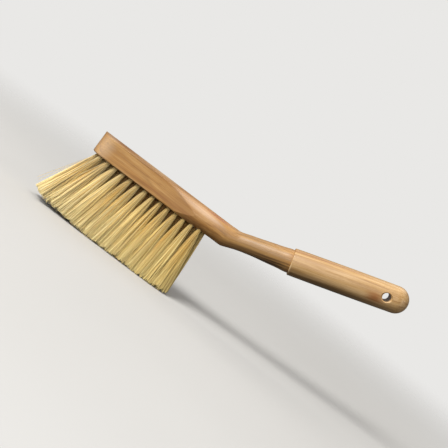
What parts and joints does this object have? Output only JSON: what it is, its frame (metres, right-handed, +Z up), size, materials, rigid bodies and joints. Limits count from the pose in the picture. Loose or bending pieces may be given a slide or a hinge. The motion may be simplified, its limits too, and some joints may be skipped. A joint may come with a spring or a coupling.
{
  "type": "hand broom",
  "caption": "Bamboo hand broom: straight head with rows of long fanned bristle tufts, cranked round neck and a thicker round grip with a hanging hole.",
  "frame": {"origin": "middle of the base of the whole broom's box, on the plane that the trimmed bristle tips stand on", "axes": "+X from the toe of the head to the end of the grip, +Y across the head, +Z up from the bristle tips to the head"},
  "size_m": [0.3534, 0.0358, 0.1402],
  "materials": {
    "bamboo_head": "satin",
    "bamboo_grip": "satin",
    "bamboo_dowel": "matte",
    "bristle": "satin",
    "anchor_steel": "brushed"
  },
  "bodies": {
    "root": {"grip": "bamboo_grip", "head_and_neck": "bamboo_head", "joint_dowel": "bamboo_dowel", "tuft_anchors": "anchor_steel", "tuft_far_01": "bristle", "tuft_far_02": "bristle", "tuft_far_03": "bristle", "tuft_far_04": "bristle", "tuft_far_05": "bristle", "tuft_far_06": "bristle", "tuft_far_07": "bristle", "tuft_far_08": "bristle", "tuft_far_09": "bristle", "tuft_far_10": "bristle", "tuft_far_11": "bristle", "tuft_far_12": "bristle", "tuft_far_13": "bristle", "tuft_far_14": "bristle", "tuft_middle_01": "bristle", "tuft_middle_02": "bristle", "tuft_middle_03": "bristle", "tuft_middle_04": "bristle", "tuft_middle_05": "bristle", "tuft_middle_06": "bristle", "tuft_middle_07": "bristle", "tuft_middle_08": "bristle", "tuft_middle_09": "bristle", "tuft_middle_10": "bristle", "tuft_middle_11": "bristle", "tuft_middle_12": "bristle", "tuft_middle_13": "bristle", "tuft_middle_14": "bristle", "tuft_middle_15": "bristle", "tuft_near_01": "bristle", "tuft_near_02": "bristle", "tuft_near_03": "bristle", "tuft_near_04": "bristle", "tuft_near_05": "bristle", "tuft_near_06": "bristle", "tuft_near_07": "bristle", "tuft_near_08": "bristle", "tuft_near_09": "bristle", "tuft_near_10": "bristle", "tuft_near_11": "bristle", "tuft_near_12": "bristle", "tuft_near_13": "bristle", "tuft_near_14": "bristle"}
  },
  "joints": []
}
